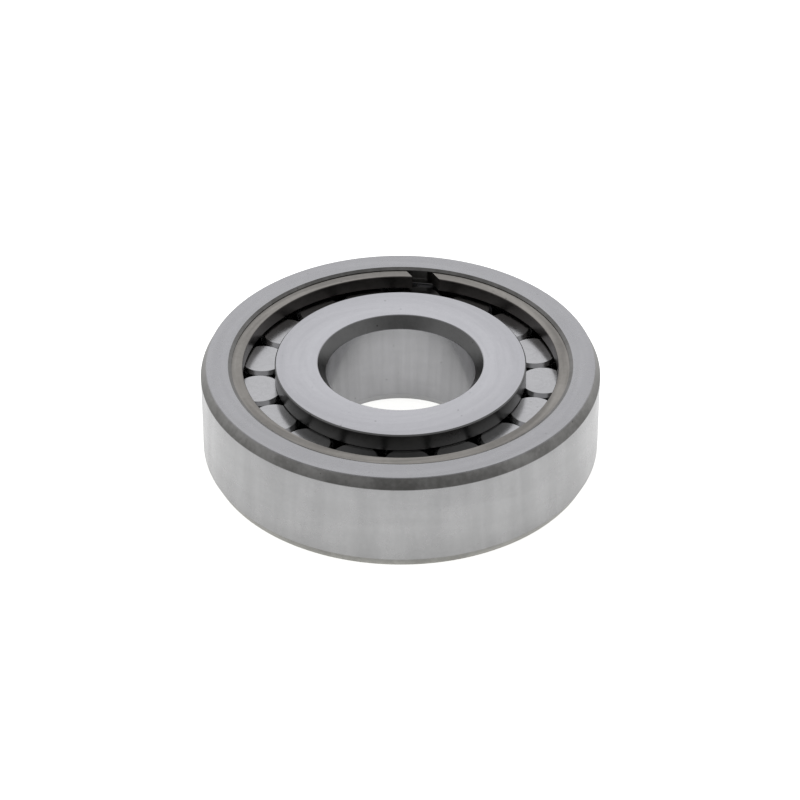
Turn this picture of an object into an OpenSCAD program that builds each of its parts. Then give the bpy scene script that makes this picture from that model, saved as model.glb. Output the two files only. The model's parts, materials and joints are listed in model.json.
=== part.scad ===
// Full-complement cylindrical roller bearing: one row of rollers that fill the
// space between two rings, with no cage. The inner ring has a shoulder on each
// side of its raceway, the outer ring has a solid flange on the -Z side, and a
// snap ring closes the +Z side. Millimetres, +Z along the axis, and the origin
// is at the centre of the bearing.

/* [Envelope] */
// Diameter of the bore, which seats on the shaft
bore_d = 30; // [16:0.5:42]
// Diameter of the outer ring's outside, which seats in the housing
outside_d = 80; // [76:0.5:120]
// Width of both rings across their faces
width = 21; // [14:0.5:60]

/* [Rollers] */
// Number of rollers in the row
roller_count = 17; // [13:1:18]
// Diameter of a roller
roller_d = 10.4; // [7.6:0.1:10.8]
// Reach of the chamfer at each end of a roller
roller_chamfer = 0.7; // [0.2:0.1:1.5]
// Gap between neighbouring rollers
roller_gap = 0.11; // [0.05:0.01:0.4]
// Place of the first roller around the axis, from +X towards +Y
first_roller_angle = 18.7; // [0:0.1:360]
// Running clearance between the rollers and each raceway
race_clearance = 0.02; // [0.01:0.01:0.1]
// Running clearance between a roller's end and each shoulder of the inner ring
end_clearance = 0.05; // [0.02:0.01:0.2]

/* [Inner ring] */
// Height of the two shoulders above the raceway
shoulder_h = 1.8; // [0.8:0.1:3]
// Reach of the bore chamfers across the faces
bore_chamfer_r = 1.65; // [0.5:0.05:2]
// Reach of the bore chamfers along the bore
bore_chamfer_z = 2.35; // [0.5:0.05:4]

/* [Outer ring] */
// Reach of the outside chamfers across the faces
outside_chamfer_r = 1.05; // [0.3:0.05:1.5]
// Reach of the outside chamfers along the outside
outside_chamfer_z = 2.1; // [0.3:0.05:4]
// Height of the solid flange above the raceway
flange_h = 2.5; // [1:0.1:4]
// Room between the rollers and the solid flange
flange_clearance = 0.4; // [0.1:0.05:1]

/* [Snap ring] */
// Thickness of the ring along the axis
ring_t = 2.85; // [1.2:0.05:3.5]
// Width of the ring across its face
ring_w = 3.8; // [2:0.1:4.5]
// Depth of the groove that holds the ring
groove_depth = 1.6; // [0.8:0.1:2]
// Distance from the outer ring's face down to the groove
groove_z = 0.45; // [0.45:0.05:2]
// Reach of the chamfer on the lip across the face
lip_chamfer_r = 0.7; // [0.2:0.05:1]
// Reach of the chamfer on the lip along the axis
lip_chamfer_z = 0.35; // [0.1:0.05:0.4]
// Clearance between the ring and each wall of the groove
groove_play = 0.05; // [0.02:0.01:0.15]
// Room for the rollers to move along the axis under the ring
float_room = 0.45; // [0.2:0.05:2]
// Width of the slot between the ring's ends
slot_w = 4.4; // [1:0.1:8]
// Place of the slot around the axis, from +X towards +Y
slot_angle = 83.1; // [0:0.1:360]
// Lean of the slot away from the radius
slot_lean = 36.5; // [0:0.5:45]

/* [Edges] */
// Small bevel on the other sharp edges
edge_break = 0.25; // [0.1:0.05:0.4]
// Width of the grinding reliefs at the ends of the raceways
relief_w = 0.9; // [0.4:0.1:1.2]
// Depth of the grinding reliefs
relief_d = 0.25; // [0.1:0.05:0.4]

/* [Hidden] */
$fn = 180;
face_z = width / 2;
pitch_r = (roller_d + roller_gap) / (2 * sin(180 / roller_count));
inner_race_r = pitch_r - roller_d / 2 - race_clearance;
outer_race_r = pitch_r + roller_d / 2 + race_clearance;
shoulder_r = inner_race_r + shoulder_h;
groove_top = face_z - groove_z;
groove_bottom = groove_top - ring_t - 2 * groove_play;
groove_r = outer_race_r + groove_depth;
ring_top = groove_top - groove_play;
ring_outer_r = groove_r - groove_play;
ring_inner_r = ring_outer_r - ring_w;
roller_end = ring_top - ring_t - float_room;
shoulder_z = roller_end + end_clearance;
flange_z = roller_end + flange_clearance;
flange_r = outer_race_r - flange_h;
ring_edge = edge_break / 2;

function roller_name(i) = str("roller_", i < 10 ? "0" : "", i);

// Outer ring, with its raceway, its snap-ring groove and its solid flange
module outer_ring() {
  outside_r = outside_d / 2;
  color([0.68, 0.68, 0.69])
    rotate_extrude()
      polygon([
        [flange_r + edge_break, -face_z],
        [outside_r - outside_chamfer_r, -face_z],
        [outside_r, -face_z + outside_chamfer_z],
        [outside_r, face_z - outside_chamfer_z],
        [outside_r - outside_chamfer_r, face_z],
        [outer_race_r + lip_chamfer_r, face_z],
        [outer_race_r, face_z - lip_chamfer_z],
        [outer_race_r, groove_top],
        [groove_r, groove_top],
        [groove_r, groove_bottom],
        [outer_race_r, groove_bottom],
        [outer_race_r, -flange_z + relief_w],
        [outer_race_r + relief_d, -flange_z + relief_w],
        [outer_race_r + relief_d, -flange_z],
        [flange_r + edge_break, -flange_z],
        [flange_r, -flange_z - edge_break],
        [flange_r, -face_z + edge_break]
      ]);
}

// Inner ring, with its bore and a shoulder on each side of its raceway
module inner_ring() {
  bore_r = bore_d / 2;
  upper_half = [
    [inner_race_r, shoulder_z - relief_w],
    [inner_race_r - relief_d, shoulder_z - relief_w],
    [inner_race_r - relief_d, shoulder_z],
    [shoulder_r - edge_break, shoulder_z],
    [shoulder_r, shoulder_z + edge_break],
    [shoulder_r, face_z - edge_break],
    [shoulder_r - edge_break, face_z],
    [bore_r + bore_chamfer_r, face_z],
    [bore_r, face_z - bore_chamfer_z]
  ];
  lower_half = [for (i = [len(upper_half) - 1:-1:0]) [upper_half[i][0], -upper_half[i][1]]];
  color([0.75, 0.75, 0.77])
    rotate_extrude()
      polygon(concat(upper_half, lower_half));
}

// Snap ring, a flat spring ring that is cut through by one leaning slot
module snap_ring() {
  color([0.53, 0.51, 0.49])
    difference() {
      rotate_extrude()
        polygon([
          [ring_inner_r + ring_edge, ring_top - ring_t],
          [ring_outer_r - ring_edge, ring_top - ring_t],
          [ring_outer_r, ring_top - ring_t + ring_edge],
          [ring_outer_r, ring_top - ring_edge],
          [ring_outer_r - ring_edge, ring_top],
          [ring_inner_r + ring_edge, ring_top],
          [ring_inner_r, ring_top - ring_edge],
          [ring_inner_r, ring_top - ring_t + ring_edge]
        ]);
      rotate([0, 0, slot_angle])
        translate([ring_outer_r - ring_w / 2, 0, ring_top - ring_t / 2])
          rotate([0, 0, slot_lean])
            cube([4 * ring_w, slot_w, 2 * ring_t], center = true);
    }
}

// One roller, in its place on the pitch circle
module roller(i) {
  roller_r = roller_d / 2;
  color([0.7, 0.71, 0.71])
    rotate([0, 0, first_roller_angle + (i - 1) * 360 / roller_count])
      translate([pitch_r, 0, 0])
        rotate_extrude()
          polygon([
            [0, -roller_end],
            [roller_r - roller_chamfer, -roller_end],
            [roller_r, -roller_end + roller_chamfer],
            [roller_r, roller_end - roller_chamfer],
            [roller_r - roller_chamfer, roller_end],
            [0, roller_end]
          ]);
}

outer_ring();
inner_ring();
snap_ring();
for (i = [1:roller_count]) roller(i);
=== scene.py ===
# %% [markdown]
# # A full-complement cylindrical roller bearing
# Two steel rings run on a row of rollers that fill the space between them, with no cage.
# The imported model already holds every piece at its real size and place, and says what
# turns. This lesson gives those pieces their looks. It goes from the camera and the
# studio to the turned shapes, and ends with the finishes that a bearing works puts on
# steel: ground, honed, turned and tempered.

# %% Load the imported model
import json
from math import cos, pi, radians, sin, tan

import bmesh
import bpy
from mathutils import Matrix, Vector


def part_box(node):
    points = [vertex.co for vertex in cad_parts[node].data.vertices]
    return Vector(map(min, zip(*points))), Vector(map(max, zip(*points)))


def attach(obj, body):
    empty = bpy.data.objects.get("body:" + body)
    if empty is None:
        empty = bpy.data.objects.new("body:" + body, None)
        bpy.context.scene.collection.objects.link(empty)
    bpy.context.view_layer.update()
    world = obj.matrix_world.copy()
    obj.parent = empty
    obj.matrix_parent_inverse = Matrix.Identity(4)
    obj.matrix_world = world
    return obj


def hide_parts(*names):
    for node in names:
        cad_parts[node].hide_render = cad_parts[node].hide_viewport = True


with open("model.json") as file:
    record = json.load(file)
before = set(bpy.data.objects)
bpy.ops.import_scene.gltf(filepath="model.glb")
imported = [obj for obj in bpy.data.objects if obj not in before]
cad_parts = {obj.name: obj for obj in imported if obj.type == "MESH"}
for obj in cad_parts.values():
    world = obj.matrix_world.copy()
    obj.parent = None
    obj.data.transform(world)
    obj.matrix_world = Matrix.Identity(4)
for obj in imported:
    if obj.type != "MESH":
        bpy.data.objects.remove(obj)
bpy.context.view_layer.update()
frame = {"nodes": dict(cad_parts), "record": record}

MM = 0.001
print("pieces in the model:", len(frame["nodes"]))

# %% [markdown]
# ## Sizes
# Nothing here is measured twice. The boxes of the pieces and the mounts in the record
# give the main sizes, so the looks follow the model if it is built again. The short list
# of small values below it holds what a box can't tell, such as the depth of a groove.

# %% Sizes from the model
mounts = {m["name"]: m for m in frame["record"]["mounts"]}
_, ring_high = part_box("outer_ring")
_, race_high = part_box("inner_ring")
snap_low, snap_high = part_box("snap_ring")
roller_names = sorted(n for n in frame["nodes"] if n.startswith("roller_"))
first_low, first_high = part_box(roller_names[0])

FACE_Z = ring_high.z
OUTSIDE_R = mounts["housing_seat"]["dims"]["r_mm"] * MM
BORE_R = mounts["shaft_bore"]["dims"]["r_mm"] * MM
SHOULDER_R = race_high.x
SNAP_TOP, SNAP_BOTTOM, SNAP_OUTER_R = snap_high.z, snap_low.z, snap_high.x
ROLLER_R = (first_high.x - first_low.x) / 2
ROLLER_END = first_high.z
first_centre = (first_low + first_high) / 2
PITCH_R = first_centre.xy.length
OUTSIDE_CHAMFER_Z = FACE_Z - mounts["housing_seat"]["dims"]["length_mm"] * MM / 2
BORE_CHAMFER_Z = FACE_Z - mounts["shaft_bore"]["dims"]["length_mm"] * MM / 2


def as_width(radius):
    """A radius in metres as a width in millimetres, ready to print."""
    return f"{2 * radius / MM:.2f} mm"


print(f"outside {as_width(OUTSIDE_R)}, bore {as_width(BORE_R)}, width {as_width(FACE_Z)}")
print(f"{len(roller_names)} rollers of {as_width(ROLLER_R)} on a {as_width(PITCH_R)} circle")

# %% Sizes that a box can't tell
RACE_CLEARANCE = 0.02 * MM
END_CLEARANCE = 0.05 * MM
OUTSIDE_CHAMFER_R = 1.05 * MM
BORE_CHAMFER_R = 1.65 * MM
FLANGE_H = 2.5 * MM
FLANGE_CLEARANCE = 0.4 * MM
LIP_CHAMFER_R = 0.7 * MM
LIP_CHAMFER_Z = 0.35 * MM
GROOVE_PLAY = 0.05 * MM
SNAP_W = 3.8 * MM
SLOT_W = 4.4 * MM
SLOT_ANGLE = radians(83.1)
SLOT_LEAN = radians(36.5)
ROLLER_CHAMFER = 0.7 * MM
EDGE_BREAK = 0.25 * MM
RELIEF_W = 0.9 * MM
RELIEF_D = 0.25 * MM

OUTER_RACE_R = PITCH_R + ROLLER_R + RACE_CLEARANCE
INNER_RACE_R = PITCH_R - ROLLER_R - RACE_CLEARANCE
GROOVE_R = SNAP_OUTER_R + GROOVE_PLAY
print(f"raceways of {as_width(OUTER_RACE_R)} and {as_width(INNER_RACE_R)}")

# %% [markdown]
# ## Camera
# A long lens from about two thirds of a metre keeps the circles close to true ellipses.
# The camera looks at a point a little below the middle of the top face, which leaves the
# bearing in the middle of the picture.

# %% Camera
CAMERA_ELEVATION = radians(34.865)
CAMERA_DISTANCE = 642.67 * MM
AIM_BELOW_TOP = radians(0.6894)
AIM_LEFT = radians(0.0115)
LENS = 144.54

camera_data = bpy.data.cameras.new("camera")
camera_data.lens = LENS
camera_data.sensor_width = 36
camera = bpy.data.objects.new("camera", camera_data)
bpy.context.scene.collection.objects.link(camera)
camera.location = (
    0,
    -CAMERA_DISTANCE * cos(CAMERA_ELEVATION),
    FACE_Z + CAMERA_DISTANCE * sin(CAMERA_ELEVATION),
)
camera.rotation_euler = (pi / 2 - CAMERA_ELEVATION - AIM_BELOW_TOP, 0, AIM_LEFT)
bpy.context.scene.camera = camera
bpy.context.scene.view_settings.view_transform = "Standard"
print("camera at", [round(v, 3) for v in camera.location])

# %% [markdown]
# ## Node helpers
# Materials, the world and Geometry Nodes trees are all made of linked nodes. Three short
# helpers keep the cells readable: one adds a node and fills its sockets, and two chain
# the sums that patterns need.


# %% Node helpers
def add_node(tree, kind, inputs=None, **settings):
    """A node of this kind. A value in inputs is a socket to link or a plain number."""
    made = tree.nodes.new(kind)
    for name, value in settings.items():
        setattr(made, name, value)
    for key, value in (inputs or {}).items():
        if isinstance(value, bpy.types.NodeSocket):
            tree.links.new(value, made.inputs[key])
        else:
            made.inputs[key].default_value = value
    return made


def calc(tree, operation, *values):
    """One Math node, given as its result."""
    made = add_node(tree, "ShaderNodeMath", dict(enumerate(values)), operation=operation)
    return made.outputs[0]


def fade(tree, value, low, high, to_low=0.0, to_high=1.0):
    """A smooth change from to_low to to_high while value goes from low to high."""
    inputs = {
        "Value": value, "From Min": low, "From Max": high, "To Min": to_low, "To Max": to_high
    }
    made = add_node(tree, "ShaderNodeMapRange", inputs, interpolation_type="SMOOTHSTEP")
    return made.outputs["Result"]


# %% [markdown]
# ## Studio
# Polished steel has almost no colour of its own, so it shows the room. The room could be
# built of walls and lamps, but a world that gives each direction its own brightness
# lights a small piece just as well and renders faster. A white sweep stands behind the
# bearing and a white floor lies under it, and both give the faces and the outside wall
# their light grey. The side walls are a little over half as light, and the ceiling and
# the room on the camera's side are dimmer still, which draws the chamfers as dark lines.
# The camera itself sees plain white all round.

# %% Brightness of the room
BACK_WALL = 1.04
SIDE_WALL = 0.60
FRONT_LOW = 0.34
FRONT_HIGH = 0.20
CEILING = 0.40
ROOM_COLOUR = (0.98, 0.98, 1.02, 1)
SEEN_COLOUR = (1, 1, 1, 1)

# A direction reaches from -1 to 1 along each axis. Each pair says between which two
# reaches one part of the room goes over into the next.
FRONT_RISES = (0.2, 0.55)
FRONT_TO_SIDE = (-0.80, -0.50)
SIDE_TO_BACK = (0.2, 0.85)
WALLS_TO_CEILING = (0.55, 0.95)

# %% World
world = bpy.data.worlds.new("studio")
bpy.context.scene.world = world
world.use_nodes = True
sky = world.node_tree
sky.nodes.clear()
direction = add_node(sky, "ShaderNodeTexCoord").outputs["Generated"]
axes = add_node(sky, "ShaderNodeSeparateXYZ", {"Vector": direction}).outputs
front_room = fade(sky, axes["Z"], *FRONT_RISES, FRONT_LOW, FRONT_HIGH)
to_side = fade(sky, axes["Y"], *FRONT_TO_SIDE, front_room, SIDE_WALL)
to_back = fade(sky, axes["Y"], *SIDE_TO_BACK, 0.0, BACK_WALL - SIDE_WALL)
walls = calc(sky, "ADD", to_side, to_back)
overhead = fade(sky, axes["Z"], *WALLS_TO_CEILING)
room = add_node(sky, "ShaderNodeMix", {"Factor": overhead, "A": walls, "B": CEILING})
seen = add_node(sky, "ShaderNodeLightPath").outputs["Is Camera Ray"]
room_light = add_node(
    sky, "ShaderNodeBackground", {"Color": ROOM_COLOUR, "Strength": room.outputs["Result"]}
)
white_light = add_node(sky, "ShaderNodeBackground", {"Color": SEEN_COLOUR, "Strength": 1.0})
mixed = add_node(
    sky, "ShaderNodeMixShader", {0: seen, 1: room_light.outputs[0], 2: white_light.outputs[0]}
)
add_node(sky, "ShaderNodeOutputWorld", {"Surface": mixed.outputs[0]})
print("nodes in the world:", len(sky.nodes))

# %% [markdown]
# The floor is matte white paper. Steel that mirrors it shows it a little brighter near
# the bearing than farther out, as under a soft lamp overhead. It is dimmer inside the
# bore, where little light gets in, and in a narrow band of shade round the foot of the
# outside wall. Lamps alone could make such a pool of light, but a glow that follows the
# distance from the axis sets each of these tones by itself. Paper hides what lies on it
# from below, so the floor is clear to a camera under it, and the far side of the bearing
# can be looked at too.

# %% Floor
FLOOR_SIZE = 6.0
FLOOR_GAP = 0.02 * MM
FLOOR_Z = -FACE_Z - FLOOR_GAP

floor_mesh = bpy.data.meshes.new("floor")
half = FLOOR_SIZE / 2
corners = [(x * half, y * half, FLOOR_Z) for x, y in ((-1, -1), (1, -1), (1, 1), (-1, 1))]
floor_mesh.from_pydata(corners, [], [(0, 1, 2, 3)])
floor = bpy.data.objects.new("floor", floor_mesh)
bpy.context.scene.collection.objects.link(floor)
print(f"floor {FLOOR_SIZE:.0f} m wide, {FLOOR_GAP / MM:.2f} mm under the bearing")

# %% Paper
SHOWN_GLOW = 0.84
MIRRORED_NEAR = 0.61
MIRRORED_FAR = 0.16
MIRRORED_IN_BORE = 0.37
NEAR_R = OUTSIDE_R + 2 * MM
FAR_R = 95 * MM
SHADE = 0.04
SHADE_R = OUTSIDE_R + 7 * MM
SHADE_EDGE = 0.5 * MM
PAPER_COLOUR = (0.8, 0.8, 0.8, 1)
GLOW_COLOUR = (1.0, 1.0, 0.975, 1)

paper = bpy.data.materials.new("white_paper")
paper.use_nodes = True
nodes = paper.node_tree
nodes.nodes.clear()
path = add_node(nodes, "ShaderNodeLightPath").outputs
shown = calc(nodes, "MULTIPLY", path["Is Camera Ray"], SHOWN_GLOW)
spot = add_node(nodes, "ShaderNodeTexCoord").outputs["Object"]
flat = add_node(nodes, "ShaderNodeVectorMath", {0: spot, 1: (1, 1, 0)}, operation="MULTIPLY")
out = add_node(nodes, "ShaderNodeVectorMath", {0: flat.outputs[0]}, operation="LENGTH")
from_axis = out.outputs["Value"]
under = fade(nodes, from_axis, BORE_R, OUTSIDE_R, MIRRORED_IN_BORE, MIRRORED_NEAR)
away = fade(nodes, from_axis, NEAR_R, FAR_R, 0.0, MIRRORED_FAR - MIRRORED_NEAR)
shade = fade(nodes, from_axis, SHADE_R - SHADE_EDGE, SHADE_R + SHADE_EDGE, -SHADE, 0.0)
pool = calc(nodes, "ADD", calc(nodes, "ADD", under, away), shade)
mirrored = calc(nodes, "MULTIPLY", path["Is Glossy Ray"], pool)
matte = add_node(nodes, "ShaderNodeBsdfDiffuse", {"Color": PAPER_COLOUR})
strength = calc(nodes, "ADD", shown, mirrored)
glow = add_node(nodes, "ShaderNodeEmission", {"Color": GLOW_COLOUR, "Strength": strength})
both = add_node(nodes, "ShaderNodeAddShader", {0: matte.outputs[0], 1: glow.outputs[0]})
under_side = add_node(nodes, "ShaderNodeNewGeometry").outputs["Backfacing"]
clear = add_node(nodes, "ShaderNodeBsdfTransparent")
seen_below = calc(nodes, "MULTIPLY", path["Is Camera Ray"], under_side)
paper_mix = {0: seen_below, 1: both.outputs[0], 2: clear.outputs[0]}
paper_shader = add_node(nodes, "ShaderNodeMixShader", paper_mix)
add_node(nodes, "ShaderNodeOutputMaterial", {"Surface": paper_shader.outputs[0]})
floor_mesh.materials.append(paper)
print("nodes in the paper:", len(nodes.nodes))

# %% [markdown]
# One wide lamp hangs high up, a little behind the bearing. The wider a lamp is, the
# softer the shade under it. It is kept out of mirror images, because polished steel
# would show it as a hard white square.

# %% Size and place of the lamp
LAMP_PLACE = (0, 0.25, 0.75)
LAMP_AIM = (0, 0, 0)
LAMP_SIZE = 0.4
LAMP_POWER = 1.5


# %% Lamp
def softbox(name, place, aim, size, power):
    """A square lamp at place that points at aim."""
    data = bpy.data.lights.new(name, "AREA")
    data.size = size
    data.energy = power
    lamp = bpy.data.objects.new(name, data)
    bpy.context.scene.collection.objects.link(lamp)
    lamp.location = place
    lamp.rotation_euler = (Vector(aim) - Vector(place)).to_track_quat("-Z", "Y").to_euler()
    return lamp


overhead_lamp = softbox("overhead_lamp", LAMP_PLACE, LAMP_AIM, LAMP_SIZE, LAMP_POWER)
overhead_lamp.visible_glossy = False
print("lamp", overhead_lamp.name, "of", LAMP_POWER, "W")

# %% [markdown]
# ## Outlines
# Every ring and roller of a bearing is turned, so its shape is one outline spun about an
# axis. An outline here is a list of corners: how far out, how high, how round the corner
# is and which finish the stretch after it has. Real edges are never razor sharp, and a
# rounded edge of a tenth of a millimetre is what catches the light. A Bevel modifier
# would round all edges alike, while the outline can give each edge its own rounding. A
# point just beside each rounding keeps the flat stretches flat under smooth shading.

# %% Rounded outlines
ARC_STEPS = 4
BESIDE_ARC = 0.01 * MM
FINE_ROUND = 0.08 * MM
GROUND, TURNED, HONED = 0.0, 1.0, 2.0


def rounded(corners, closed=True):
    """Points (r, z, finish) along an outline whose corners are rounded as they say."""
    points = []
    for i, (r, z, radius, finish) in enumerate(corners):
        before, after = corners[i - 1], corners[(i + 1) % len(corners)]
        if radius == 0:
            points.append((r, z, finish))
            continue
        here = Vector((r, z))
        back = (Vector(before[:2]) - here).normalized()
        ahead = (Vector(after[:2]) - here).normalized()
        half_turn = back.angle(ahead) / 2
        reach = radius / tan(half_turn)
        centre = here + (back + ahead).normalized() * radius / sin(half_turn)
        start, end = here + back * reach, here + ahead * reach
        sweep = -(start - centre).angle_signed(end - centre)
        points.append((*(start + back * BESIDE_ARC), before[3]))
        for step in range(ARC_STEPS + 1):
            share = step / ARC_STEPS
            spoke = Matrix.Rotation(sweep * share, 2) @ (start - centre)
            points.append((*(centre + spoke), before[3] + (finish - before[3]) * share))
        points.append((*(end + ahead * BESIDE_ARC), finish))
    if closed:
        points.append(points[0])
    return points


def outline_object(name, points):
    """The outline as a mesh of points in order, with each point's finish as an attribute."""
    mesh = bpy.data.meshes.new(name)
    edges = [(i, i + 1) for i in range(len(points) - 1)]
    mesh.from_pydata([(r, 0, z) for r, z, _ in points], edges, [])
    marks = mesh.attributes.new("finish", "FLOAT", "POINT")
    marks.data.foreach_set("value", [finish for _, _, finish in points])
    made = bpy.data.objects.new(name, mesh)
    bpy.context.scene.collection.objects.link(made)
    return made


# %% [markdown]
# ## Turning
# A Geometry Nodes tree works as the lathe. It lays a grid of points, takes each point's
# place in the outline from one grid direction and its angle from the other, and welds
# the seam. A Screw modifier could turn a whole ring, but not one with a slot of parallel
# sides. A split ring comes from the same tree: the slot is two cuts, and at each radius
# the tree works out the angles at which the cuts meet that circle. With no slot both
# cuts fall together and the ring is whole.

# %% Welding distance
TINY = 1e-6


# %% The turning tree
def lathe_tree():
    """The tree that turns an outline about the Z axis, with or without a slot."""
    tree = bpy.data.node_groups.new("lathe", "GeometryNodeTree")
    sides = tree.interface
    sides.new_socket("Outline", in_out="INPUT", socket_type="NodeSocketGeometry")
    for name, kind, value in (
        ("Steps", "NodeSocketInt", 64),
        ("Slot Angle", "NodeSocketFloat", 0.0),
        ("Slot Lean", "NodeSocketFloat", 0.0),
        ("Slot Width", "NodeSocketFloat", 0.0),
        ("Slot Radius", "NodeSocketFloat", 1.0),
    ):
        sides.new_socket(name, in_out="INPUT", socket_type=kind).default_value = value
    sides.new_socket("Finish", in_out="INPUT", socket_type="NodeSocketMaterial")
    sides.new_socket("Piece", in_out="OUTPUT", socket_type="NodeSocketGeometry")
    given = add_node(tree, "NodeGroupInput").outputs

    size = add_node(tree, "GeometryNodeAttributeDomainSize", {0: given["Outline"]})
    count = size.outputs["Point Count"]
    around = calc(tree, "ADD", given["Steps"], 1)
    grid = add_node(tree, "GeometryNodeMeshGrid", {"Vertices X": count, "Vertices Y": around})
    index = add_node(tree, "GeometryNodeInputIndex").outputs[0]
    along = calc(tree, "FLOOR", calc(tree, "DIVIDE", index, around))
    turn = calc(tree, "MODULO", index, around)
    share = calc(tree, "DIVIDE", turn, given["Steps"])

    place = add_node(tree, "GeometryNodeInputPosition").outputs[0]
    sampled = add_node(
        tree, "GeometryNodeSampleIndex",
        {"Geometry": given["Outline"], "Value": place, "Index": along}, data_type="FLOAT_VECTOR",
    ).outputs["Value"]
    mark = add_node(tree, "GeometryNodeInputNamedAttribute", {"Name": "finish"})
    finish = mark.outputs["Attribute"]
    sampled_finish = add_node(
        tree, "GeometryNodeSampleIndex",
        {"Geometry": given["Outline"], "Value": finish, "Index": along}, data_type="FLOAT",
    ).outputs["Value"]

    axes = add_node(tree, "ShaderNodeSeparateXYZ", {0: sampled}).outputs
    radius = calc(tree, "MAXIMUM", axes["X"], TINY)
    line = calc(tree, "ADD", given["Slot Angle"], given["Slot Lean"])
    offset = calc(tree, "MULTIPLY", given["Slot Radius"], calc(tree, "SINE", given["Slot Lean"]))
    half_slot = calc(tree, "MULTIPLY", given["Slot Width"], 0.5)
    near = calc(tree, "SUBTRACT", half_slot, offset)
    first = calc(tree, "ARCSINE", calc(tree, "DIVIDE", near, radius))
    both = calc(tree, "ADD", half_slot, offset)
    last = calc(tree, "ARCSINE", calc(tree, "DIVIDE", calc(tree, "MULTIPLY", both, -1), radius))
    span = calc(tree, "ADD", calc(tree, "SUBTRACT", last, first), 2 * pi)
    angle = calc(tree, "ADD", calc(tree, "ADD", line, first), calc(tree, "MULTIPLY", share, span))
    turned = add_node(
        tree, "ShaderNodeVectorRotate", {"Vector": sampled, "Angle": angle}, rotation_type="Z_AXIS"
    ).outputs[0]

    shaped = add_node(
        tree, "GeometryNodeSetPosition", {"Geometry": grid.outputs["Mesh"], "Position": turned}
    )
    marked = add_node(
        tree, "GeometryNodeStoreNamedAttribute",
        {"Geometry": shaped.outputs[0], "Name": "finish", "Value": sampled_finish},
        data_type="FLOAT",
    )
    outward = add_node(tree, "GeometryNodeFlipFaces", {0: marked.outputs[0]})
    welded = add_node(
        tree, "GeometryNodeMergeByDistance", {"Geometry": outward.outputs[0], "Distance": TINY}
    )
    smooth = add_node(tree, "GeometryNodeSetShadeSmooth", {"Geometry": welded.outputs[0]})
    real = add_node(tree, "GeometryNodeRealizeInstances", {"Geometry": smooth.outputs[0]})
    painted = add_node(
        tree, "GeometryNodeSetMaterial", {"Geometry": real.outputs[0], "Material": given["Finish"]}
    )
    add_node(tree, "NodeGroupOutput", {"Piece": painted.outputs[0]})
    return tree


LATHE = lathe_tree()
print("nodes in the turning tree:", len(LATHE.nodes))


# %% Running a tree
def run_tree(piece, tree, values):
    """Adds the tree to the piece with these inputs."""
    modifier = piece.modifiers.new(tree.name, "NODES")
    modifier.node_group = tree
    for item in tree.interface.items_tree:
        if item.item_type == "SOCKET" and item.in_out == "INPUT" and item.name in values:
            modifier[item.identifier] = values[item.name]


def plain_mesh(piece):
    """Turns what the piece's trees make into its own mesh, and takes the trees off."""
    depsgraph = bpy.context.evaluated_depsgraph_get()
    made = bpy.data.meshes.new_from_object(piece.evaluated_get(depsgraph))
    piece.modifiers.clear()
    piece.data = made
    made.name = piece.name
    return made


def volume(mesh):
    """The closed volume in cubic millimetres. It is above zero where faces point outwards."""
    shape = bmesh.new()
    shape.from_mesh(mesh)
    found = shape.calc_volume(signed=True)
    open_edges = sum(1 for e in shape.edges if len(e.link_faces) != 2)
    shape.free()
    return found / MM**3, open_edges


# %% [markdown]
# ## Steels
# A piece gets its steel while it is turned, so the four steels come before the pieces.
# They are still empty. Their patterns need the sizes of the pieces and are made last.


# %% Empty steels
def steel(name):
    """A material that waits for its nodes."""
    made = bpy.data.materials.new(name)
    made.use_nodes = True
    return made


RING_STEEL = steel("ring_steel")
RACE_STEEL = steel("race_steel")
ROLLER_STEEL = steel("roller_steel")
SPRING_STEEL = steel("spring_steel")
print("empty:", RING_STEEL.name, RACE_STEEL.name, ROLLER_STEEL.name, SPRING_STEEL.name)

# %% [markdown]
# ## Outer ring
# The widest piece. Its outside seats in a housing, its inside carries the raceway, and a
# lip above a groove holds the snap ring. A solid flange keeps the rollers in on the far
# side. All of this could be cut from a plain tube step by step, but one outline on the
# lathe gives clean rows of faces, with no seams where a cut would meet a curved wall.

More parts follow.
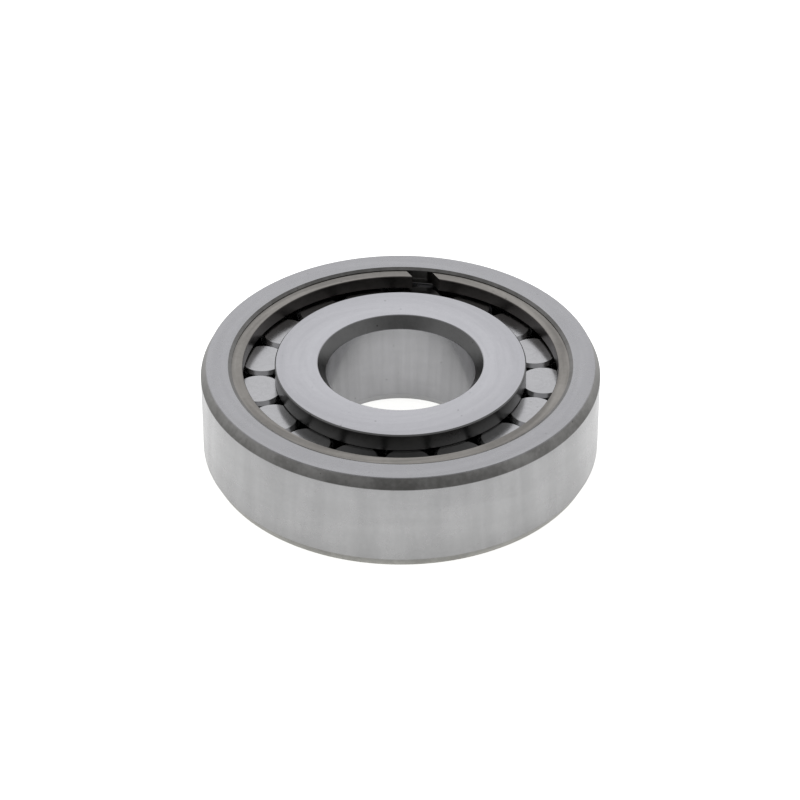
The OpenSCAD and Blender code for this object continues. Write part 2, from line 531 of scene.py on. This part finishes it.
# %% Outer ring
RING_STEPS = 256
CHAMFER_ROUND = 0.35 * MM
FLANGE_ROUND = 0.10 * MM
GROOVE_ROUND = 0.15 * MM
LIP_ROUND = 0.03 * MM
lip_r = OUTER_RACE_R + LIP_CHAMFER_R
flange_r = OUTER_RACE_R - FLANGE_H
flange_z = -ROLLER_END - FLANGE_CLEARANCE
chamfer_r = OUTSIDE_R - OUTSIDE_CHAMFER_R
chamfer_z = FACE_Z - OUTSIDE_CHAMFER_Z
outer_corners = [
    (flange_r + EDGE_BREAK, -FACE_Z, FLANGE_ROUND, GROUND),
    (chamfer_r, -FACE_Z, CHAMFER_ROUND, TURNED),
    (OUTSIDE_R, -chamfer_z, CHAMFER_ROUND, GROUND),
    (OUTSIDE_R, chamfer_z, CHAMFER_ROUND, TURNED),
    (chamfer_r, FACE_Z, CHAMFER_ROUND, GROUND),
    (lip_r, FACE_Z, FINE_ROUND, TURNED),
    (OUTER_RACE_R, FACE_Z - LIP_CHAMFER_Z, LIP_ROUND, TURNED),
    (OUTER_RACE_R, SNAP_TOP + GROOVE_PLAY, LIP_ROUND, TURNED),
    (GROOVE_R, SNAP_TOP + GROOVE_PLAY, GROOVE_ROUND, TURNED),
    (GROOVE_R, SNAP_BOTTOM - GROOVE_PLAY, GROOVE_ROUND, TURNED),
    (OUTER_RACE_R, SNAP_BOTTOM - GROOVE_PLAY, FINE_ROUND, HONED),
    (OUTER_RACE_R, flange_z + RELIEF_W, FINE_ROUND, TURNED),
    (OUTER_RACE_R + RELIEF_D, flange_z + RELIEF_W, FINE_ROUND, TURNED),
    (OUTER_RACE_R + RELIEF_D, flange_z, FINE_ROUND, TURNED),
    (flange_r + EDGE_BREAK, flange_z, FLANGE_ROUND, TURNED),
    (flange_r, flange_z - EDGE_BREAK, FLANGE_ROUND, TURNED),
    (flange_r, -FACE_Z + EDGE_BREAK, FLANGE_ROUND, TURNED),
]


def turned_piece(name, corners, finish, steps=RING_STEPS, closed=True, **slot):
    """A piece turned about the Z axis from its corners, with its trees still on."""
    piece = outline_object(name, rounded(corners, closed))
    run_tree(piece, LATHE, {"Steps": steps, "Finish": finish, **slot})
    return piece


outer_ring = turned_piece("ring_outer", outer_corners, RING_STEEL)
print("outer ring, mm3 and open edges:", volume(plain_mesh(outer_ring)))

# %% [markdown]
# ## Inner ring
# It is pressed on the shaft. Its two shoulders guide the rollers by their ends, and the
# space between the shoulders is the inner raceway. Both halves mirror each other, so
# the outline is written once and turned over, which also keeps the two sides alike.

# %% Inner ring
SHOULDER_ROUND = 0.12 * MM
BORE_ROUND = 0.30 * MM
shoulder_z = ROLLER_END + END_CLEARANCE
upper_corners = [
    (INNER_RACE_R, shoulder_z - RELIEF_W, FINE_ROUND, TURNED),
    (INNER_RACE_R - RELIEF_D, shoulder_z - RELIEF_W, FINE_ROUND, TURNED),
    (INNER_RACE_R - RELIEF_D, shoulder_z, FINE_ROUND, TURNED),
    (SHOULDER_R - EDGE_BREAK, shoulder_z, FINE_ROUND, TURNED),
    (SHOULDER_R, shoulder_z + EDGE_BREAK, FINE_ROUND, TURNED),
    (SHOULDER_R, FACE_Z - EDGE_BREAK, SHOULDER_ROUND, TURNED),
    (SHOULDER_R - EDGE_BREAK, FACE_Z, SHOULDER_ROUND, GROUND),
    (BORE_R + BORE_CHAMFER_R, FACE_Z, BORE_ROUND, TURNED),
    (BORE_R, FACE_Z - BORE_CHAMFER_Z, CHAMFER_ROUND, GROUND),
]
lower_corners = []
last = len(upper_corners) - 1
for i in range(last, -1, -1):
    r, z, radius, _ = upper_corners[i]
    finish = {last: GROUND, 0: HONED}.get(i, upper_corners[i - 1][3])
    lower_corners.append((r, -z, radius, finish))
inner_ring = turned_piece("ring_inner", upper_corners + lower_corners, RACE_STEEL)
print("inner ring, mm3 and open edges:", volume(plain_mesh(inner_ring)))

# %% [markdown]
# ## Snap ring
# A flat spring ring, squeezed at its slot to go into the groove. Its two ends are cut
# parallel and lean away from the radius. The lathe leaves the cut ends open, so the
# next cell closes them with flat faces, crisp at the rim as a saw or a shear leaves them.

# %% Snap ring
SNAP_EDGE = EDGE_BREAK / 2
QUAD = 4
snap_inner_r = SNAP_OUTER_R - SNAP_W
snap_corners = [
    (snap_inner_r + SNAP_EDGE, SNAP_BOTTOM, FINE_ROUND, GROUND),
    (SNAP_OUTER_R - SNAP_EDGE, SNAP_BOTTOM, FINE_ROUND, TURNED),
    (SNAP_OUTER_R, SNAP_BOTTOM + SNAP_EDGE, FINE_ROUND, TURNED),
    (SNAP_OUTER_R, SNAP_TOP - SNAP_EDGE, FINE_ROUND, TURNED),
    (SNAP_OUTER_R - SNAP_EDGE, SNAP_TOP, FINE_ROUND, GROUND),
    (snap_inner_r + SNAP_EDGE, SNAP_TOP, FINE_ROUND, TURNED),
    (snap_inner_r, SNAP_TOP - SNAP_EDGE, FINE_ROUND, TURNED),
    (snap_inner_r, SNAP_BOTTOM + SNAP_EDGE, FINE_ROUND, TURNED),
]
slot = {
    "Slot Angle": SLOT_ANGLE,
    "Slot Lean": SLOT_LEAN,
    "Slot Width": SLOT_W,
    "Slot Radius": SNAP_OUTER_R - SNAP_W / 2,
}
snap_ring = turned_piece("ring_snap", snap_corners, SPRING_STEEL, **slot)
snap_mesh = plain_mesh(snap_ring)


# %% Closed ends
def close_ends(mesh):
    """Fills the open loops of a mesh with flat faces and keeps their rims sharp."""
    shape = bmesh.new()
    shape.from_mesh(mesh)
    rims = [e for e in shape.edges if len(e.link_faces) == 1]
    bmesh.ops.holes_fill(shape, edges=rims, sides=0)
    for face in shape.faces:
        face.smooth = len(face.verts) <= QUAD
    for edge in rims:
        edge.smooth = False
    shape.to_mesh(mesh)
    shape.free()


close_ends(snap_mesh)
print("snap ring, mm3 and open edges:", volume(snap_mesh))

# %% [markdown]
# ## Rollers
# One outline makes every roller. A second tree sets copies of it on the pitch circle and
# keeps one of them, because each roller is a body of its own that turns by itself. Before
# it leaves the middle, each point notes its own place, so that the grinding marks of each
# roller can be centred on that roller.


# %% The roller row tree
def row_tree():
    """The tree that sets a roller on the pitch circle and keeps the one of this number."""
    tree = bpy.data.node_groups.new("roller_row", "GeometryNodeTree")
    sides = tree.interface
    sides.new_socket("Roller", in_out="INPUT", socket_type="NodeSocketGeometry")
    for name, kind, value in (
        ("Count", "NodeSocketInt", 12),
        ("Number", "NodeSocketInt", 0),
        ("Pitch Radius", "NodeSocketFloat", 1.0),
        ("First Angle", "NodeSocketFloat", 0.0),
    ):
        sides.new_socket(name, in_out="INPUT", socket_type=kind).default_value = value
    sides.new_socket("Finish", in_out="INPUT", socket_type="NodeSocketMaterial")
    sides.new_socket("Piece", in_out="OUTPUT", socket_type="NodeSocketGeometry")
    given = add_node(tree, "NodeGroupInput").outputs

    place = add_node(tree, "GeometryNodeInputPosition").outputs[0]
    noted = add_node(
        tree, "GeometryNodeStoreNamedAttribute",
        {"Geometry": given["Roller"], "Name": "own_place", "Value": place},
        data_type="FLOAT_VECTOR",
    )
    circle = add_node(
        tree, "GeometryNodeMeshCircle",
        {"Vertices": given["Count"], "Radius": given["Pitch Radius"]},
    )
    turn = add_node(tree, "ShaderNodeCombineXYZ", {"Z": given["First Angle"]}).outputs[0]
    turned = add_node(
        tree, "GeometryNodeTransform", {"Geometry": circle.outputs[0], "Rotation": turn}
    )
    index = add_node(tree, "GeometryNodeInputIndex").outputs[0]
    chosen = calc(tree, "COMPARE", index, given["Number"], 0.5)
    row = add_node(
        tree, "GeometryNodeInstanceOnPoints",
        {"Points": turned.outputs[0], "Selection": chosen, "Instance": noted.outputs[0]},
    )
    real = add_node(tree, "GeometryNodeRealizeInstances", {"Geometry": row.outputs[0]})
    painted = add_node(
        tree, "GeometryNodeSetMaterial", {"Geometry": real.outputs[0], "Material": given["Finish"]}
    )
    add_node(tree, "NodeGroupOutput", {"Piece": painted.outputs[0]})
    return tree


ROW = row_tree()
print("nodes in the roller row tree:", len(ROW.nodes))

# %% The rollers
ROLLER_STEPS = 96
ROLLER_END_ROUND = 0.15 * MM
ROLLER_SIDE_ROUND = 0.25 * MM
flat_r = ROLLER_R - ROLLER_CHAMFER
roller_corners = [
    (0, -ROLLER_END, 0, GROUND),
    (flat_r, -ROLLER_END, ROLLER_END_ROUND, TURNED),
    (ROLLER_R, -ROLLER_END + ROLLER_CHAMFER, ROLLER_SIDE_ROUND, HONED),
    (ROLLER_R, ROLLER_END - ROLLER_CHAMFER, ROLLER_SIDE_ROUND, TURNED),
    (flat_r, ROLLER_END, ROLLER_END_ROUND, GROUND),
    (0, ROLLER_END, 0, GROUND),
]
first_angle = -Vector((1, 0)).angle_signed(first_centre.xy)
rollers = {}
for number, name in enumerate(roller_names):
    piece = turned_piece(
        name.replace("_", "-"), roller_corners, ROLLER_STEEL, steps=ROLLER_STEPS, closed=False
    )
    placing = {
        "Count": len(roller_names),
        "Number": number,
        "Pitch Radius": PITCH_R,
        "First Angle": first_angle,
        "Finish": ROLLER_STEEL,
    }
    run_tree(piece, ROW, placing)
    made = plain_mesh(piece)
    rollers[name] = piece
print(len(rollers), "rollers, the last with mm3 and open edges:", volume(made))


# %% [markdown]
# ## Finishes
# Bearing steel is bare metal, so each finish is a metal with its own tint, haze and
# marks. What tells the finishes apart is the lay, the direction in which the tool or the
# wheel ran. On turned and ground pieces the lay runs round the axis, so the marks are
# long one way and fine the other way. Stretching a noise pattern along that direction
# gives them. A ground outside also shows faint upright bands, left by the wheel's chatter.


# %% Patterns that follow the lay
def round_the_axis(tree, place):
    """The distance from the Z axis, the direction away from it and the height."""
    split = add_node(tree, "ShaderNodeSeparateXYZ", {0: place}).outputs
    flat = add_node(tree, "ShaderNodeCombineXYZ", {"X": split["X"], "Y": split["Y"]}).outputs[0]
    out = add_node(tree, "ShaderNodeVectorMath", {0: flat}, operation="LENGTH").outputs["Value"]
    spoke = add_node(tree, "ShaderNodeVectorMath", {0: flat}, operation="NORMALIZE").outputs[0]
    return out, spoke, split["Z"]


def lay_marks(tree, axial, across_out, across_up, along, detail=4.0, seed=0.0):
    """Noise stretched round the axis, with scales per metre out, per metre up and per turn."""
    out, spoke, up = axial
    wrap = {0: spoke, "Scale": along}
    around = add_node(tree, "ShaderNodeVectorMath", wrap, operation="SCALE").outputs[0]
    steps = {
        "X": calc(tree, "MULTIPLY", out, across_out),
        "Y": calc(tree, "MULTIPLY", up, across_up),
        "Z": seed,
    }
    across = add_node(tree, "ShaderNodeCombineXYZ", steps).outputs[0]
    where = add_node(tree, "ShaderNodeVectorMath", {0: around, 1: across}, operation="ADD")
    inputs = {"Vector": where.outputs[0], "Scale": 1.0, "Detail": detail}
    return add_node(tree, "ShaderNodeTexNoise", inputs).outputs[0]


def blotches(tree, place, scale, detail=3.0, roughness=0.6):
    """Soft patches, the same in every direction."""
    inputs = {"Vector": place, "Scale": scale, "Detail": detail, "Roughness": roughness}
    return add_node(tree, "ShaderNodeTexNoise", inputs).outputs[0]


def mix_colours(tree, factor, a, b):
    """A colour between a and b. Each of them is a colour or a socket."""
    inputs = {"Factor": factor, "A": a, "B": b}
    return add_node(tree, "ShaderNodeMix", inputs, data_type="RGBA").outputs["Result"]


def shaded(tree, colour, amount):
    """The colour made lighter or darker by amount, where 1 leaves it as it is."""
    made = add_node(tree, "ShaderNodeVectorMath", {0: colour, "Scale": amount}, operation="SCALE")
    return made.outputs[0]


# %% [markdown]
# All four steels mix the same patterns at the same scales, because the grit of a wheel
# and the feed of a tool don't grow with the piece. The finest marks of the lay go into
# the bump, where they only bend the light, and broader ones into the colour. Patches and
# a grain give bare steel its soft mottle, and a few dark specks are small pits.

# %% Scales and limits of the patterns
FINE_LAY = {"across_out": 2600, "across_up": 2600, "along": 1.5}
BROAD_LAY = {"across_out": 700, "across_up": 260, "along": 1.5, "detail": 2.0, "seed": 4.0}
CHATTER = {"across_out": 0, "across_up": 30, "along": 9.0, "detail": 3.0, "seed": 8.0}
BUMP_STRENGTH = 0.10
BUMP_DEPTH = 0.006 * MM

PATCH_SCALE, PATCH_SHARE = 130, 0.7
GRAIN_SCALE, GRAIN_DETAIL, GRAIN_SHARE = 1100, 2.0, 0.3
SPECK = (0.05, 0.05, 0.045, 1)
SPECK_SCALE, SPECK_EDGE = 620.0, (0.18, 0.09)
SPECK_SPREAD, SPECK_SPREAD_DETAIL, SPECK_FEW = 240, 1.0, (0.60, 0.66)

# Noise lies mostly between these, so a fade over them uses its whole range.
NOISE_RANGE = (0.35, 0.65)
LAY_RANGE = (0.3, 0.7)
GROUND_HAZE = 0.03
TURNED_HAZE = 0.05

WALL_EDGE = (0.2 * MM, 0.4 * MM)
# Width over which the painted light of the far side sets in.
FAR_SIDE_LIGHT_FADE = 0.1 * MM
# Width over which the painted shade inside the lip fades out.
LIP_SHADE_FADE = 0.5 * MM

# %% [markdown]
# A ground stretch is light and even. The lines of its lay run round it, a wall can have
# upright bands, and a flat face can grow a little darker towards its rim. A turned
# stretch is darker and more mottled. Painted shade and light follow its height: it is
# darker below the foot of the outer chamfers and lighter at the faces, so a chamfer goes
# from dark at its wall to light at its face, as its reflection would. Painted light makes
# the turned stretches of the far side lighter, its chamfer among them, and painted shade
# darkens the turned stretches inside the lip of the groove.


# %% The colours of ground and turned steel
def mottled(tree, own):
    """Soft patches, and the same patches with a finer grain."""
    patches = blotches(tree, own, PATCH_SCALE)
    grain = blotches(tree, own, GRAIN_SCALE, GRAIN_DETAIL)
    soft = calc(tree, "MULTIPLY", patches, PATCH_SHARE)
    fine = calc(tree, "MULTIPLY", grain, GRAIN_SHARE)
    return patches, calc(tree, "ADD", soft, fine)


def base_tint(tree, mottle, dark, light):
    """The mottle as a colour between dark and light."""
    return mix_colours(tree, fade(tree, mottle, *NOISE_RANGE), (*dark, 1), (*light, 1))


def ground_colour(tree, tints, axial, mottle, lines, bands, rim):
    """tints are (dark, light), bands are (wall_r, depth), rim is (from_r, to_r, drop)."""
    broad_lay = lay_marks(tree, axial, **BROAD_LAY)
    colour = base_tint(tree, mottle, *tints)
    colour = shaded(tree, colour, fade(tree, broad_lay, *LAY_RANGE, 1 - lines, 1 + lines))
    if bands:
        wall_r, depth = bands
        chatter = lay_marks(tree, axial, **CHATTER)
        off_wall = calc(tree, "ABSOLUTE", calc(tree, "SUBTRACT", axial[0], wall_r))
        on_wall = fade(tree, off_wall, *WALL_EDGE, depth, 0.0)
        stripes = calc(tree, "MULTIPLY", fade(tree, chatter, *LAY_RANGE, -1.0, 1.0), on_wall)
        colour = shaded(tree, colour, calc(tree, "ADD", stripes, 1.0))
    if rim:
        from_r, to_r, drop = rim
        colour = shaded(tree, colour, fade(tree, axial[0], from_r, to_r, 1.0, 1 - drop))
    return colour


def turned_colour(tree, tints, axial, mottle, painted_chamfer_shade, far_side_painted_light, lip_painted_shade):
    """tints are (dark, light), chamfer is (from_z, to_z, lightest) of painted shade and light by
    height, far_side_painted_light is painted light below the middle, lip is (radius, share) of
    painted shade inside that radius.
    """
    colour = base_tint(tree, mottle, *tints)
    # Painted shade and light by height: darker towards the wall of a chamfer, lighter towards the
    # face.
    if painted_chamfer_shade:
        from_z, to_z, lightest = painted_chamfer_shade
        height = calc(tree, "ABSOLUTE", axial[2])
        colour = shaded(tree, colour, fade(tree, height, from_z, to_z, 2 - lightest, lightest))
    # Painted light: turned stretches below the middle of the ring are made lighter by this factor.
    if far_side_painted_light != 1.0:
        colour = shaded(tree, colour, fade(tree, axial[2], -FAR_SIDE_LIGHT_FADE, FAR_SIDE_LIGHT_FADE, far_side_painted_light, 1.0))
    # Painted shade: turned stretches inside the lip's radius, down into the bearing, are darkened
    # by share.
    if lip_painted_shade:
        radius, share = lip_painted_shade
        colour = shaded(tree, colour, fade(tree, axial[0], radius, radius + LIP_SHADE_FADE, share, 1.0))
    return colour


def with_specks(tree, own, colour, is_turned, ground_specks, turned_specks):
    """The colour with dark specks, as strong as each finish says."""
    dots = add_node(tree, "ShaderNodeTexVoronoi", {"Vector": own, "Scale": SPECK_SCALE})
    small = fade(tree, dots.outputs["Distance"], *SPECK_EDGE)
    few = fade(tree, blotches(tree, own, SPECK_SPREAD, SPECK_SPREAD_DETAIL), *SPECK_FEW)
    specks = fade(tree, is_turned, 0.0, 1.0, ground_specks, turned_specks)
    pits = calc(tree, "MULTIPLY", calc(tree, "MULTIPLY", small, few), specks)
    return mix_colours(tree, pits, colour, SPECK)


# %% [markdown]
# One function puts a steel together. The outline left a number on each point: 0 on ground
# stretches, 1 on turned ones and 2 on honed raceways, which look like ground ones. The
# function turns that number into a mask, and the mask chooses the tint and the haze. The
# specks lie on top, and the finest lay is the bump.


# %% A steel finish
def make_steel(
    material, ground, turned, ground_rough, turned_rough,
    place_name=None, lines=0.03, bands=None, rim=None, painted_chamfer_shade=None, far_side_painted_light=1.0, lip_painted_shade=None,
    ground_specks=0.15, turned_specks=0.8,
):
    """Fills a metal's nodes. ground and turned are its two tints, as (dark, light)."""
    tree = material.node_tree
    tree.nodes.clear()
    own = add_node(tree, "ShaderNodeTexCoord").outputs["Object"]
    place = own
    if place_name:
        place = add_node(tree, "ShaderNodeAttribute", attribute_name=place_name).outputs["Vector"]
    axial = round_the_axis(tree, place)
    mark = add_node(tree, "ShaderNodeAttribute", attribute_name="finish").outputs["Fac"]
    off_turned = calc(tree, "ABSOLUTE", calc(tree, "SUBTRACT", mark, TURNED))
    is_turned = calc(tree, "MAXIMUM", calc(tree, "SUBTRACT", 1.0, off_turned), 0.0)

    patches, mottle = mottled(tree, own)
    ground_tint = ground_colour(tree, ground, axial, mottle, lines, bands, rim)
    turned_tint = turned_colour(tree, turned, axial, mottle, painted_chamfer_shade, far_side_painted_light, lip_painted_shade)
    colour = mix_colours(tree, is_turned, ground_tint, turned_tint)
    colour = with_specks(tree, own, colour, is_turned, ground_specks, turned_specks)

    smoother, rougher = ground_rough - GROUND_HAZE, ground_rough + GROUND_HAZE
    haze_ground = fade(tree, patches, *NOISE_RANGE, smoother, rougher)
    smoother, rougher = turned_rough - TURNED_HAZE, turned_rough + TURNED_HAZE
    haze_turned = fade(tree, mottle, *NOISE_RANGE, smoother, rougher)
    mixed = {"Factor": is_turned, "A": haze_ground, "B": haze_turned}
    haze = add_node(tree, "ShaderNodeMix", mixed).outputs["Result"]
    fine_lay = lay_marks(tree, axial, **FINE_LAY)
    bump = add_node(
        tree, "ShaderNodeBump",
        {"Strength": BUMP_STRENGTH, "Distance": BUMP_DEPTH, "Height": fine_lay},
    ).outputs[0]
    metal = add_node(
        tree, "ShaderNodeBsdfPrincipled",
        {"Base Color": colour, "Metallic": 1.0, "Roughness": haze, "Normal": bump},
    )
    add_node(tree, "ShaderNodeOutputMaterial", {"Surface": metal.outputs[0]})
    print(material.name, "has", len(tree.nodes), "nodes")


# %% [markdown]
# Tints are the share of red, green and blue light that a metal gives back. Ground steel
# is nearly neutral and turned steel a little warm. The snap ring was tempered and kept
# its brown-grey skin, and the rollers are the smoothest pieces, so they are the least
# hazy.

# %% The four steels
make_steel(
    RING_STEEL,
    ground=((0.395, 0.395, 0.397), (0.427, 0.427, 0.429)),
    turned=((0.195, 0.192, 0.180), (0.298, 0.294, 0.279)),
    ground_rough=0.26, turned_rough=0.38, bands=(OUTSIDE_R, 0.06),
    # Painted shade and light by height on turned steel, painted light on its lower side and
    # painted shade inside the lip of the groove.
    painted_chamfer_shade=(chamfer_z, FACE_Z, 1.12), far_side_painted_light=1.5, lip_painted_shade=(lip_r, 0.72),
)
make_steel(
    RACE_STEEL,
    ground=((0.505, 0.505, 0.515), (0.535, 0.535, 0.546)),
    turned=((0.160, 0.160, 0.154), (0.196, 0.196, 0.189)),
    ground_rough=0.22, turned_rough=0.32, bands=(BORE_R, 0.05),
    rim=(0.45 * OUTSIDE_R, SHOULDER_R, 0.10), ground_specks=0.3,
)
make_steel(
    ROLLER_STEEL,
    ground=((0.45, 0.45, 0.448), (0.495, 0.495, 0.493)),
    turned=((0.38, 0.38, 0.38), (0.44, 0.44, 0.44)),
    ground_rough=0.20, turned_rough=0.24, place_name="own_place",
)
make_steel(
    SPRING_STEEL,
    ground=((0.243, 0.232, 0.210), (0.303, 0.289, 0.263)),
    turned=((0.097, 0.090, 0.084), (0.129, 0.121, 0.114)),
    ground_rough=0.32, turned_rough=0.36, lines=0.20, ground_specks=0.5,
)

# %% [markdown]
# ## Bodies
# Every piece rides on the body that carries it and stands for its piece of the model.
# The outer ring and the snap ring stay still, the inner ring turns with the shaft, and
# each roller follows its own body round the race.

# %% Ride and replace
for piece, body, node_name, slot_name in (
    (outer_ring, "outer_ring", "outer_ring", "ring_steel"),
    (snap_ring, "outer_ring", "snap_ring", "spring_steel"),
    (inner_ring, "inner_ring", "inner_ring", "ring_steel"),
    *((piece, name, name, "roller_steel") for name, piece in rollers.items()),
):
    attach(piece, body)
    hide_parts(node_name)
print(len(rollers) + 3, "pieces ride on their bodies")
